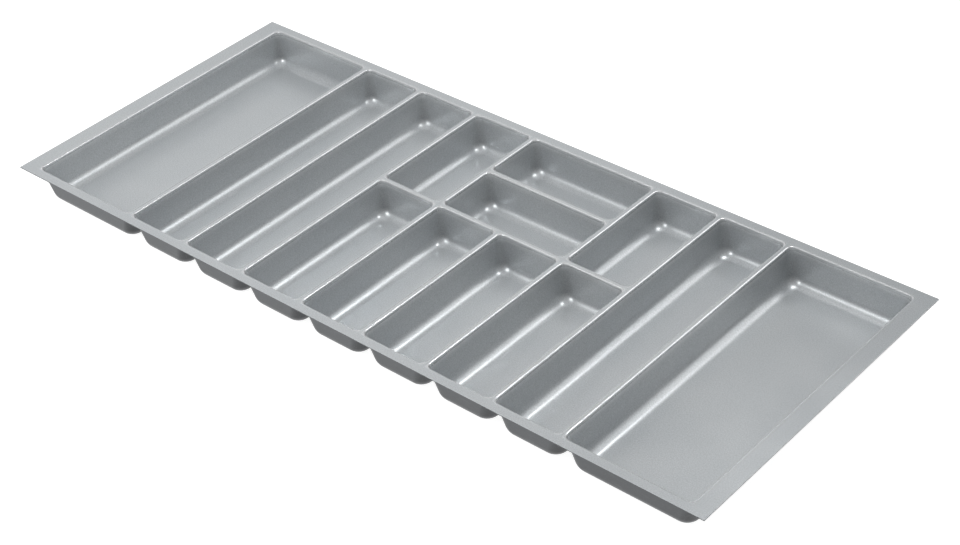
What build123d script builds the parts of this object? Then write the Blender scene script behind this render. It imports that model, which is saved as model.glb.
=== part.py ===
from build123d import *
import os
from math import cos, radians, tan

# Cutlery tray: one sheet moulding with thirteen tapered wells hanging from a flat deck.
# Millimetres. X runs along the drawer's width, Y to the back, +Z up.
# The origin is the middle of the footprint, on the plane that the wells stand on.

# Overall size
tray_length = 1108.0
tray_depth = 474.0
tray_height = 50.0
sheet = 1.5

# Deck, from the trimmed outer edge to the sharp edge of the nearest mouth
side_rim = 25.0
end_rim = 14.0

# Dividers, with the gap between the sharp edges of two neighbouring mouths
divider_pitch = 100.7
divider_gap = 7.0
middle_divider_y = 33.0

# Form of a well: one radius rounds its upright corners and its floor edge, so that they join in a ball
wall_draft = 8.0
corner_radius = 8.0
lip_margin = 2.0

# Columns of wells: seven narrow ones between the eight long dividers, and a large one at each end
narrow_count = 7
narrow_width = divider_pitch - divider_gap
narrow_x = [(i - (narrow_count - 1) / 2) * divider_pitch for i in range(narrow_count)]
divider_x = [narrow_x[0] - divider_pitch / 2] + [x + divider_pitch / 2 for x in narrow_x]
large_outer_x = tray_length / 2 - side_rim
large_inner_x = divider_x[-1] + divider_gap / 2
large_width = large_outer_x - large_inner_x
large_x = (large_outer_x + large_inner_x) / 2

# The crosswise pair lies behind the fifth long divider, which stops at the middle one
cross_divider = 4
cross_x = divider_x[cross_divider]
cross_width = 2 * divider_pitch - divider_gap

# Rows of wells: the middle divider parts front from rear, and the crosswise pair shares the rear
mouth_y = tray_depth / 2 - end_rim
full_depth = 2 * mouth_y
front_depth = middle_divider_y - divider_gap / 2 + mouth_y
front_y = (front_depth - full_depth) / 2
rear_depth = mouth_y - middle_divider_y - divider_gap / 2
rear_y = (full_depth - rear_depth) / 2
cross_depth = (rear_depth - divider_gap) / 2
cross_step = (cross_depth + divider_gap) / 2


def save(piece, label):
    """Label a finished piece and write it as its own file."""
    piece.part.label = label
    export_step(piece.part, f"parts/{label}.step")


def make_block(width, depth, floor, top, growth):
    """A block between two heights, tapered down from the mouth's size, and grown by a skin all round."""
    inset = 2 * (growth - (tray_height - floor) * tan(radians(wall_draft)))
    with BuildPart() as block:
        with BuildSketch(Plane.XY.offset(floor)):
            Rectangle(width + inset, depth + inset)
        extrude(amount=top - floor)
        walls = block.faces().filter_by(Plane.XY, reverse=True)
        draft(walls, Plane.XY.offset(floor), -wall_draft)
    return block.part


def make_hollow(width, depth):
    """The space inside a tub, with its corners and floor edge rounded together."""
    with BuildPart() as hollow:
        add(make_block(width, depth, sheet, tray_height, 0))
        mouth = hollow.faces().sort_by(Axis.Z)[-1]
        fillet(hollow.edges() - mouth.edges(), corner_radius)
    return hollow.part


def make_shell(width, depth):
    """The outside of a tub, one sheet away from its hollow: rounded corners across a rounded floor edge."""
    block = make_block(width, depth, 0, tray_height - sheet, sheet / cos(radians(wall_draft)))
    with BuildPart() as footed:
        add(block)
        fillet(footed.faces().sort_by(Axis.Z)[0].edges(), corner_radius + sheet)
    with BuildPart() as shell:
        add(block)
        fillet(shell.edges() - shell.edges().filter_by(Plane.XY), corner_radius + sheet)
        add(footed.part, mode=Mode.INTERSECT)
    return shell.part


def make_well(width, depth):
    """A drafted tub in a square-cornered piece of deck."""
    hollow = make_hollow(width, depth)
    with BuildPart() as well:
        add(make_shell(width, depth))
        with BuildSketch(Plane.XY.offset(tray_height - sheet)):
            Rectangle(width + 2 * lip_margin, depth + 2 * lip_margin)
        extrude(amount=sheet)
        add(hollow, mode=Mode.SUBTRACT)
    return well.part


def make_strip(label, left, right, front, back):
    """A flat strip of deck between its straight edges."""
    middle = ((left + right) / 2, (front + back) / 2, tray_height - sheet)
    with BuildPart() as strip:
        with BuildSketch(Plane(origin=middle)):
            Rectangle(right - left, back - front)
        extrude(amount=sheet)
    save(strip, label)


os.makedirs("parts", exist_ok=True)

# Wells: five forms, each set where its mouth opens in the deck
large_well = make_well(large_width, full_depth)
long_well = make_well(narrow_width, full_depth)
front_well = make_well(narrow_width, front_depth)
rear_well = make_well(narrow_width, rear_depth)
cross_well = make_well(cross_width, cross_depth)
wells = [
    ("well_left_large", large_well, -large_x, 0),
    ("well_long_1", long_well, narrow_x[0], 0),
    ("well_long_2", long_well, narrow_x[1], 0),
    ("well_front_1", front_well, narrow_x[2], front_y),
    ("well_front_2", front_well, narrow_x[3], front_y),
    ("well_front_3", front_well, narrow_x[4], front_y),
    ("well_front_4", front_well, narrow_x[5], front_y),
    ("well_rear_left", rear_well, narrow_x[2], rear_y),
    ("well_cross_front", cross_well, cross_x, rear_y - cross_step),
    ("well_cross_back", cross_well, cross_x, rear_y + cross_step),
    ("well_rear_right", rear_well, narrow_x[5], rear_y),
    ("well_long_3", long_well, narrow_x[6], 0),
    ("well_right_large", large_well, large_x, 0),
]
for name, form, x, y in wells:
    with BuildPart() as well:
        with Locations((x, y)):
            add(form)
    save(well, name)

# Rim: the front and back strips run the whole length, the side strips lie between them
rim_inner_x = large_outer_x + lip_margin
rim_inner_y = mouth_y + lip_margin
make_strip("rim_front", -tray_length / 2, tray_length / 2, -tray_depth / 2, -rim_inner_y)
make_strip("rim_back", -tray_length / 2, tray_length / 2, rim_inner_y, tray_depth / 2)
make_strip("rim_left", -tray_length / 2, -rim_inner_x, -rim_inner_y, rim_inner_y)
make_strip("rim_right", rim_inner_x, tray_length / 2, -rim_inner_y, rim_inner_y)

# Crests of the long dividers
crest_half = divider_gap / 2 - lip_margin
for i, x in enumerate(divider_x):
    crest_back = middle_divider_y - crest_half if i == cross_divider else rim_inner_y
    make_strip(f"divider_long_{i + 1}", x - crest_half, x + crest_half, -rim_inner_y, crest_back)

# Crests of the crosswise dividers: name, middle of its length, width of the mouths beside it, place on Y
crosswise = [
    ("divider_middle_left", narrow_x[2], narrow_width, middle_divider_y),
    ("divider_middle", cross_x, cross_width, middle_divider_y),
    ("divider_middle_right", narrow_x[5], narrow_width, middle_divider_y),
    ("divider_rear", cross_x, cross_width, rear_y),
]
for name, x, length, y in crosswise:
    reach = length / 2 + lip_margin
    make_strip(name, x - reach, x + reach, y - crest_half, y + crest_half)
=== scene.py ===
from math import cos, pi, radians, sin, tan

import bmesh
import bpy
from mathutils import Matrix, Vector


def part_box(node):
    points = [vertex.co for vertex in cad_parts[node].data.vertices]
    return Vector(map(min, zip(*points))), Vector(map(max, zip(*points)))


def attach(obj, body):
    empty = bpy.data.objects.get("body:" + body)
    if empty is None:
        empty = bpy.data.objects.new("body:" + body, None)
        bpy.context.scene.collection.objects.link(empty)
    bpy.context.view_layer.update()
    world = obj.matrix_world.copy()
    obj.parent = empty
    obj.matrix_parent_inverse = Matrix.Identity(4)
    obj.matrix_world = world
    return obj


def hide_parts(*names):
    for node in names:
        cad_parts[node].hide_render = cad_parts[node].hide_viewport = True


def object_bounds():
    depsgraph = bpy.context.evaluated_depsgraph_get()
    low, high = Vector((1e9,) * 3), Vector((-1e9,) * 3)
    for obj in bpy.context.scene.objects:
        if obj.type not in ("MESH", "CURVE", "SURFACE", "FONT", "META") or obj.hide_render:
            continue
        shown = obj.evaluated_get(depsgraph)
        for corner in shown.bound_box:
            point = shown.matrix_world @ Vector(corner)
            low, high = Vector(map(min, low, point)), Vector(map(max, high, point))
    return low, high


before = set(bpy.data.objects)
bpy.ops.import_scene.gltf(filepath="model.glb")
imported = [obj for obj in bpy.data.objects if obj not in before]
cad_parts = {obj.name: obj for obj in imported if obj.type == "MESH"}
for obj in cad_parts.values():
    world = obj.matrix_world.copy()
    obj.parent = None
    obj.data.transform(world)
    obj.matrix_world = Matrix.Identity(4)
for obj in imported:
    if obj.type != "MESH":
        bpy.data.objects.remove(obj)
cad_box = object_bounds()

# Sizes of the moulding, in metres, which the CAD part shares
SHEET = 0.0015
WALL_DRAFT = radians(8.0)
LIP_MARGIN = 0.002

# Roundings, in metres. The corners of a well open towards its floor; the CAD part keeps to one radius.
MOUTH_CORNER = 0.008
FLOOR_CORNER = 0.018
FLOOR_RADIUS = 0.015
LIP_RADIUS = 0.0022
TRIM_RADIUS = 0.0003

# Above this upward part of its direction, a rim face shows the sheet's own face
TRIM_FACING = 0.3

# Fineness of the meshes, in segments
CORNER_STEPS = 14
LIP_STEPS = 6
WALL_STEPS = 4
FILLET_STEPS = 14
SIDE_STEPS = 8
TRIM_STEPS = 3

BODY = "root"

# Marks on the mesh that the material reads: the lips, which it makes smoother and paints paler as a painted
# highlight, and the painted shade in the upright corners
LIP_LAYER = "lip"
CORNER_SHADE_LAYER = "corner_shade"

# How strong the painted shade in a corner is at the lip, against 1 at the foot of the wall, and how fast
# that fades from there to the floor
CORNER_SHADE_AT_LIP = 0.35
CORNER_SHADE_FADE = 1.6

# Patterns in the plastic, as noise scales: how many features lie on a metre
CLOUD_SCALE = 9.0
RIPPLE_SCALE = 22.0
FLAKE_SCALE = 700.0
GRAIN_SCALE = 700.0
SCUFF_SCALE = (30.0, 1100.0, 200.0)
SCUFF_TURNS = (0.5, 1.9)

WHITE = (1.0, 1.0, 1.0, 1.0)

# Colours of the sheet's face and back
SILVER_DARK = (0.425, 0.447, 0.462, 1.0)
SILVER_LIGHT = (0.452, 0.472, 0.484, 1.0)
BACK_DARK = (0.053, 0.058, 0.063, 1.0)
BACK_LIGHT = (0.063, 0.069, 0.075, 1.0)

# Sky: the middle of its bright part, and how far from it the light goes, with the strengths there
SKY_MIDDLE = Vector((0.10, -0.10, 0.98))
SKY_SPREAD = (0.25, 0.95, 0.20, 0.55)

FLOOR_REACH = 30.0

# Camera: found from the four rim corners in the photograph
CAMERA_PLACE = Vector((1.4549, -1.5536, 1.5615))
CAMERA_AIM = Vector((0.0874, -0.0483, 0.050))
CAMERA_ROLL = radians(-3.2)
CAMERA_LENS = 78.235
SENSOR_WIDTH = 36.0


def make_camera():
    data = bpy.data.cameras.new("camera")
    data.lens = CAMERA_LENS
    data.sensor_width = SENSOR_WIDTH
    data.clip_end = 50
    camera = bpy.data.objects.new("camera", data)
    bpy.context.scene.collection.objects.link(camera)
    aim = (CAMERA_AIM - CAMERA_PLACE).to_track_quat("-Z", "Y").to_matrix().to_4x4()
    roll = Matrix.Rotation(CAMERA_ROLL, 4, "Z")
    camera.matrix_world = Matrix.Translation(CAMERA_PLACE) @ aim @ roll
    bpy.context.scene.camera = camera


# Materials

class Nodes:
    """A short way to write a node tree: each call adds a node, sets its inputs and returns it."""

    def __init__(self, name):
        self.material = bpy.data.materials.new(name)
        self.material.use_nodes = True
        self.tree = self.material.node_tree
        self.tree.nodes.clear()

    def add(self, kind, inputs=None, **settings):
        node = self.tree.nodes.new(kind)
        for key, value in settings.items():
            setattr(node, key, value)
        for key, value in (inputs or {}).items():
            if isinstance(value, bpy.types.NodeSocket):
                self.tree.links.new(value, node.inputs[key])
            else:
                node.inputs[key].default_value = value
        return node

    def ramp(self, value, low, high, out_low, out_high):
        node = self.add("ShaderNodeMapRange", {"Value": value})
        node.inputs["From Min"].default_value = low
        node.inputs["From Max"].default_value = high
        node.inputs["To Min"].default_value = out_low
        node.inputs["To Max"].default_value = out_high
        return node.outputs["Result"]

    def mix(self, blend, factor, first, second):
        """A mix of two colours. Its sockets go by number, because those of other kinds share their names."""
        node = self.add("ShaderNodeMix", {}, data_type="RGBA", blend_type=blend)
        for index, value in ((0, factor), (6, first), (7, second)):
            if isinstance(value, bpy.types.NodeSocket):
                self.tree.links.new(value, node.inputs[index])
            else:
                node.inputs[index].default_value = value
        return node.outputs[2]

    def between(self, value, out_zero, out_one):
        return self.ramp(value, 0.0, 1.0, out_zero, out_one)

    def mark(self, layer):
        """A value that the mesh holds at each of its points."""
        return self.add("ShaderNodeAttribute", attribute_name=layer).outputs["Fac"]

    def noise(self, place, scale, detail, roughness):
        return self.add("ShaderNodeTexNoise", {
            "Vector": place, "Scale": scale, "Detail": detail, "Roughness": roughness,
        }).outputs["Fac"]

    def grey(self, value):
        node = self.add("ShaderNodeCombineColor", {"Red": value, "Green": value, "Blue": value})
        return node.outputs["Color"]

    def finish(self, shader):
        out = self.add("ShaderNodeOutputMaterial")
        self.tree.links.new(shader.outputs["BSDF"], out.inputs["Surface"])


def sheet_plastic(name, dark, light, metallic, coat):
    """Pearl-grey sheet plastic: fine flake, a pebbled grain, faint flow clouds, hairline scuffs, lips made
    smoother and painted paler as a painted highlight, and painted shade that darkens the upright corners."""
    n = Nodes(name)
    place = n.add("ShaderNodeTexCoord").outputs["Object"]
    cloud = n.noise(place, CLOUD_SCALE, 3.0, 0.5)
    flake = n.noise(place, FLAKE_SCALE, 2.0, 0.6)
    grain = n.add("ShaderNodeTexVoronoi", {"Vector": place, "Scale": GRAIN_SCALE}, feature="SMOOTH_F1")
    ripple = n.noise(place, RIPPLE_SCALE, 2.0, 0.4)

    lip_sheen_and_smoothing = n.mark(LIP_LAYER)
    corner_shade_mark = n.mark(CORNER_SHADE_LAYER)
    hairs = []
    for turn in SCUFF_TURNS:
        along = n.add("ShaderNodeMapping", {
            "Vector": place, "Rotation": (0.0, 0.0, turn), "Scale": SCUFF_SCALE,
        })
        hair = n.noise(along.outputs["Vector"], 1.0, 1.0, 0.5)
        hairs.append(n.grey(n.ramp(hair, 0.66, 0.74, 0.0, 1.0)))
    scuffs = n.mix("LIGHTEN", 1.0, *hairs)

    silver = n.mix("MIX", n.ramp(cloud, 0.35, 0.65, 0.0, 1.0), dark, light)
    # Painted shade: the upright corners are darkened, most of all low down
    corner_shaded = n.mix("MULTIPLY", 1.0, silver, n.grey(n.between(corner_shade_mark, 1.0, 0.58)))
    flaked = n.mix("MULTIPLY", 1.0, corner_shaded, n.grey(n.ramp(flake, 0.3, 0.7, 0.82, 1.16)))
    scuffed = n.mix("SCREEN", n.between(scuffs, 0.0, 0.03), flaked, WHITE)
    # Painted highlight: the lips are made paler
    lip_sheen = n.mix("SCREEN", n.between(lip_sheen_and_smoothing, 0.0, 0.24), scuffed, WHITE)

    rough = n.add("ShaderNodeMath", {
        0: n.ramp(cloud, 0.3, 0.7, 0.33, 0.39), 1: n.between(scuffs, 0.0, 0.08),
    }, operation="ADD")
    smoothed = n.add("ShaderNodeMath", {
        0: rough.outputs["Value"], 1: n.between(lip_sheen_and_smoothing, 0.0, 0.13),
    }, operation="SUBTRACT")
    fine = n.add("ShaderNodeBump", {
        "Height": grain.outputs["Distance"], "Strength": 0.12, "Distance": 0.0002,
    })
    waved = n.add("ShaderNodeBump", {
        "Height": ripple, "Strength": 0.05, "Distance": 0.002, "Normal": fine.outputs["Normal"],
    })
    shader = n.add("ShaderNodeBsdfPrincipled", {
        "Base Color": lip_sheen,
        "Metallic": metallic,
        "Roughness": smoothed.outputs["Value"],
        "Coat Weight": coat,
        "Coat Roughness": 0.14,
        "Normal": waved.outputs["Normal"],
    })
    n.finish(shader)
    return n.material


def floor_paper():
    """A pale backdrop with a little light of its own, so that the tray's shadow stays soft."""
    n = Nodes("floor_paper")
    shader = n.add("ShaderNodeBsdfPrincipled", {
        "Base Color": (0.35, 0.35, 0.35, 1.0), "Roughness": 0.9,
        "Emission Color": WHITE, "Emission Strength": 0.94,
    })
    n.finish(shader)
    return n.material


# Wells

def ring_directions():
    """Round a rounded rectangle, anticlockwise: each point's corner, its direction from the corner's
    centre, and its share of the way to the next corner."""
    corners = [(1, 1), (-1, 1), (-1, -1), (1, -1)]
    points = []
    for quarter, signs in enumerate(corners):
        following = corners[(quarter + 1) % 4]
        start = quarter * pi / 2
        for i in range(CORNER_STEPS + 1):
            points.append((signs, signs, start + i * pi / 2 / CORNER_STEPS, 0.0))
        for i in range(1, SIDE_STEPS):
            points.append((signs, following, start + pi / 2, i / SIDE_STEPS))
    return points


RING = ring_directions()


def lay_ring(inner, height, reach):
    """A closed ring of points, each as far outside a rectangle as reach says for its direction."""
    points = []
    for signs, following, angle, share in RING:
        ends = [Vector((s[0] * inner[0], s[1] * inner[1], height)) for s in (signs, following)]
        centre = ends[0].lerp(ends[1], share)
        points.append(centre + reach(angle) * Vector((cos(angle), sin(angle), 0)))
    return points


def profile(t, top):
    """The wall's section at a way t: 0 to 1 rolls over the lip, 1 to 2 goes down the wall, 2 to 3 turns
    on to the floor. Returns how far in from the mouth's sharp edge it is, and its height."""
    lip_in = -LIP_RADIUS * tan((pi / 2 - WALL_DRAFT) / 2)
    fillet_height = SHEET + FLOOR_RADIUS
    fillet_in = (top - fillet_height) * tan(WALL_DRAFT) + FLOOR_RADIUS / cos(WALL_DRAFT)

    def on_lip(angle):
        return lip_in + LIP_RADIUS * cos(angle), top - LIP_RADIUS + LIP_RADIUS * sin(angle)

    def on_fillet(angle):
        return fillet_in - FLOOR_RADIUS * cos(angle), fillet_height - FLOOR_RADIUS * sin(angle)

    if t <= 1:
        return on_lip(pi / 2 + (WALL_DRAFT - pi / 2) * t)
    if t >= 2:
        return on_fillet(WALL_DRAFT + (pi / 2 - WALL_DRAFT) * (t - 2))
    start, end = on_lip(WALL_DRAFT), on_fillet(WALL_DRAFT)
    return tuple(a + (b - a) * (t - 1) for a, b in zip(start, end))


def ring_points(t, half, top):
    """The closed ring of points at a way t down the well's wall, about the well's centre."""
    inset, height = profile(t, top)
    depth = top - height
    wall_inset = depth * tan(WALL_DRAFT)
    corner = MOUTH_CORNER + (FLOOR_CORNER - MOUTH_CORNER) * depth / top - (inset - wall_inset)
    return lay_ring([h - inset - corner for h in half], height, lambda angle: corner)


def square_ring(half, height):
    """The same ring of points spread round a sharp-cornered rectangle, the edge of the well's deck."""
    corner = MOUTH_CORNER + LIP_MARGIN

    def to_edge(angle):
        return corner / max(abs(cos(angle)), abs(sin(angle)))

    return lay_ring([h - corner for h in half], height, to_edge)


def wall_normals(t, half, top):
    """The surface's direction at each point of a ring, towards the hollow."""
    step = 1e-4
    above = ring_points(max(t - step, 0), half, top)
    below = ring_points(min(t + step, 3), half, top)
    normals = []
    for (signs, following, angle, share), a, b in zip(RING, above, below):
        along = Vector((-sin(angle), cos(angle), 0))
        normals.append(along.cross(b - a).normalized())
    return normals


def corner_shade(t):
    """How much painted shade darkens a ring, point by point: most in the upright corners, low down."""
    if t <= 1:
        fall = 0.0
    elif t <= 2:
        fall = CORNER_SHADE_AT_LIP + (1 - CORNER_SHADE_AT_LIP) * (t - 1)
    else:
        fall = max(0.0, 1 - CORNER_SHADE_FADE * (t - 2))
    return [
        fall * abs(sin(2 * angle)) if signs == following else 0.0
        for signs, following, angle, share in RING
    ]


def make_well(node, face_material, back_material):
    """A well in its square of deck: rings of points from the deck's edge down to the floor, and the same
    rings again one sheet further out."""
    low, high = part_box(node)
    top = high.z
    centre = Vector(((low.x + high.x) / 2, (low.y + high.y) / 2, 0))
    outer = ((high.x - low.x) / 2, (high.y - low.y) / 2)
    half = (outer[0] - LIP_MARGIN, outer[1] - LIP_MARGIN)
    ways = [i / LIP_STEPS for i in range(LIP_STEPS + 1)]
    ways += [1 + i / WALL_STEPS for i in range(1, WALL_STEPS + 1)]
    ways += [2 + i / FILLET_STEPS for i in range(1, FILLET_STEPS + 1)]

    # The face of the sheet: its points, the directions they face, and the marks on them
    count = len(RING)
    points = square_ring(outer, top)
    normals = [Vector((0, 0, 1))] * count
    lip_sheen = [0.0] * count
    corner_shade_mark = [0.0] * count
    for t in ways:
        points += ring_points(t, half, top)
        normals += wall_normals(t, half, top)
        # The lips: marked for a painted highlight and for a smoother roughness
        lip_sheen += [1.0 if t <= 1 else 0.0] * count
        # Painted shade for the upright corners
        corner_shade_mark += corner_shade(t)
    total = len(points)
    last = total - count

    # Faces: bands between the rings and the floor, the back of each, and the edge where the deck is cut
    faces = []
    for start in range(0, last, count):
        for i in range(count):
            a, b = start + i, start + (i + 1) % count
            faces.append((a, b, b + count, a + count))
    faces.append(tuple(range(last, total)))
    backs = [tuple(i + total for i in (face[0],) + face[:0:-1]) for face in faces]
    edges = [((i + 1) % count, i, i + total, (i + 1) % count + total) for i in range(count)]

    mesh = bpy.data.meshes.new(node + "_skin")
    vertices = [p + centre for p in points]
    vertices += [p - SHEET * v for p, v in zip(vertices, normals)]
    mesh.from_pydata([tuple(v) for v in vertices], [], faces + backs + edges)
    mesh.polygons.foreach_set("use_smooth", [True] * len(mesh.polygons))
    facing = [normals[i] for face in faces for i in face]
    facing += [-normals[i - total] for face in backs for i in face]
    facing += [polygon.normal.copy() for polygon in mesh.polygons[-count:] for i in polygon.vertices]
    mesh.normals_split_custom_set([tuple(v) for v in facing])
    mesh.materials.append(face_material)
    mesh.materials.append(back_material)
    materials = [0] * len(faces) + [1] * len(backs) + [0] * len(edges)
    mesh.polygons.foreach_set("material_index", materials)
    mesh.attributes.new(LIP_LAYER, "FLOAT", "POINT").data.foreach_set("value", lip_sheen + lip_sheen)
    mesh.attributes.new(CORNER_SHADE_LAYER, "FLOAT", "POINT").data.foreach_set("value", corner_shade_mark + corner_shade_mark)
    return finish_piece(mesh, node)


def finish_piece(mesh, node):
    piece = bpy.data.objects.new(mesh.name, mesh)
    bpy.context.scene.collection.objects.link(piece)
    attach(piece, BODY)
    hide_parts(node)
    return piece


# Rim

def make_rim(node, face_material, back_material):
    """A rim strip. Its trimmed outer edges are slightly rounded, and show the darker back of the sheet."""
    low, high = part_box(node)
    tray_low, tray_high = cad_box
    mesh = bpy.data.meshes.new(node + "_strip")
    form = bmesh.new()
    bmesh.ops.create_cube(form, size=1)
    for v in form.verts:
        v.co = Vector([(a + b) / 2 + c * (b - a) for a, b, c in zip(low, high, v.co)])

    def trimmed(edge):
        """Whether an edge lies in one of the planes that the sheet is trimmed to."""
        for k in (0, 1):
            for plane in (tray_low[k], tray_high[k]):
                if all(abs(v.co[k] - plane) < SHEET / 10 for v in edge.verts):
                    return True
        return False

    edges = [e for e in form.edges if trimmed(e)]
    bmesh.ops.bevel(
        form, geom=edges, offset=TRIM_RADIUS, segments=TRIM_STEPS, profile=0.5, affect="EDGES",
    )
    form.to_mesh(mesh)
    form.free()
    mesh.materials.append(face_material)
    mesh.materials.append(back_material)
    upward = [polygon.normal.z > TRIM_FACING for polygon in mesh.polygons]
    mesh.polygons.foreach_set("material_index", [0 if up else 1 for up in upward])
    return finish_piece(mesh, node)


# Stage

def make_floor():
    mesh = bpy.data.meshes.new("floor")
    corners = [(x * FLOOR_REACH, y * FLOOR_REACH, 0) for x, y in ((-1, -1), (1, -1), (1, 1), (-1, 1))]
    mesh.from_pydata(corners, [], [(0, 1, 2, 3)])
    mesh.materials.append(floor_paper())
    floor = bpy.data.objects.new("floor", mesh)
    bpy.context.scene.collection.objects.link(floor)


def soft_box(name, place, aim, size, watts, diffuse=True, glossy=True):
    """A rectangular area lamp at a place, facing a point; its width stays level. It can be one that shows
    only in reflections, to shape a highlight, or one that doesn't, to fill the shade."""
    data = bpy.data.lights.new(name, "AREA")
    data.shape = "RECTANGLE"
    data.size, data.size_y = size
    data.energy = watts
    lamp = bpy.data.objects.new(name, data)
    lamp.visible_camera = False
    lamp.visible_diffuse = diffuse
    lamp.visible_glossy = glossy
    bpy.context.scene.collection.objects.link(lamp)
    way = Vector(aim) - Vector(place)
    lamp.matrix_world = Matrix.Translation(place) @ way.to_track_quat("-Z", "Y").to_matrix().to_4x4()


def make_lights():
    # For reflections only: the streaks along the edges of the floors, and the sheen of the flat faces
    soft_box("back_right", (1.0, 1.3, 1.35), (1.0, 0.0, 0.0), (1.6, 0.45), 6.8, diffuse=False)
    soft_box("back_far", (1.8, 1.9, 1.15), (0.0, 0.0, 0.0), (0.9, 0.5), 3.0, diffuse=False)
    soft_box("right_low", (2.2, 1.5, 0.85), (1.0, 0.0, 0.0), (1.2, 0.6), 2.5, diffuse=False)
    soft_box("back_left", (-2.0, 1.6, 1.7), (0.0, 0.0, 0.0), (2.4, 2.0), 9.6, diffuse=False)
    soft_box("front_left", (-0.52, -0.80, 0.88), (0.4, 0.2, 0.0), (0.5, 0.6), 1.65, diffuse=False)

    # For diffuse light only: they fill the shade
    soft_box("front_fill", (-1.8, -1.5, 1.0), (0.0, 0.0, 0.0), (1.8, 1.2), 17, glossy=False)
    soft_box("right_fill", (0.2, 0.0, 1.3), (-0.5, 0.0, 0.0), (0.8, 0.5), 8.0, glossy=False)
    soft_box("middle_fill", (-0.6, -1.0, 1.2), (-0.3, 0.0, 0.0), (0.8, 0.6), 7.5, glossy=False)
    soft_box("top_fill", (-0.1, 0.0, 2.0), (-0.1, 0.0, 0.0), (1.6, 1.0), 7, glossy=False)

    # For reflections only: the two small dots in the corners of the wells
    soft_box("spark_right", (0.44, 0.35, 0.90), (0.1, 0.2, 0.0), (0.10, 0.10), 2.5, diffuse=False)
    soft_box("spark_front", (0.0, -1.4, 1.6), (0.0, 0.2, 0.0), (0.15, 0.15), 12, diffuse=False)


def make_sky():
    """A white studio that is bright overhead and dim round its sides."""
    world = bpy.data.worlds.new("studio")
    bpy.context.scene.world = world
    world.use_nodes = True
    tree = world.node_tree
    sky = tree.nodes["Background"]
    sky.inputs["Color"].default_value = WHITE
    way = tree.nodes.new("ShaderNodeTexCoord")
    toward = tree.nodes.new("ShaderNodeVectorMath")
    toward.operation = "DOT_PRODUCT"
    toward.inputs[1].default_value = SKY_MIDDLE.normalized()
    spread = tree.nodes.new("ShaderNodeMapRange")
    spread.interpolation_type = "SMOOTHSTEP"
    for socket, value in zip(("From Min", "From Max", "To Min", "To Max"), SKY_SPREAD):
        spread.inputs[socket].default_value = value
    tree.links.new(way.outputs["Generated"], toward.inputs[0])
    tree.links.new(toward.outputs["Value"], spread.inputs["Value"])
    tree.links.new(spread.outputs["Result"], sky.inputs["Strength"])
    bpy.context.scene.view_settings.view_transform = "Standard"


make_camera()
face = sheet_plastic("tray_plastic", SILVER_DARK, SILVER_LIGHT, 0.5, 0.3)
back = sheet_plastic("tray_underside", BACK_DARK, BACK_LIGHT, 0.1, 0.0)
for name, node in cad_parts.items():
    if name.startswith("well_"):
        make_well(name, face, back)
    elif name.startswith("rim_"):
        make_rim(name, face, back)
    else:
        node.data.materials.clear()
        node.data.materials.append(face)
make_floor()
make_lights()
make_sky()
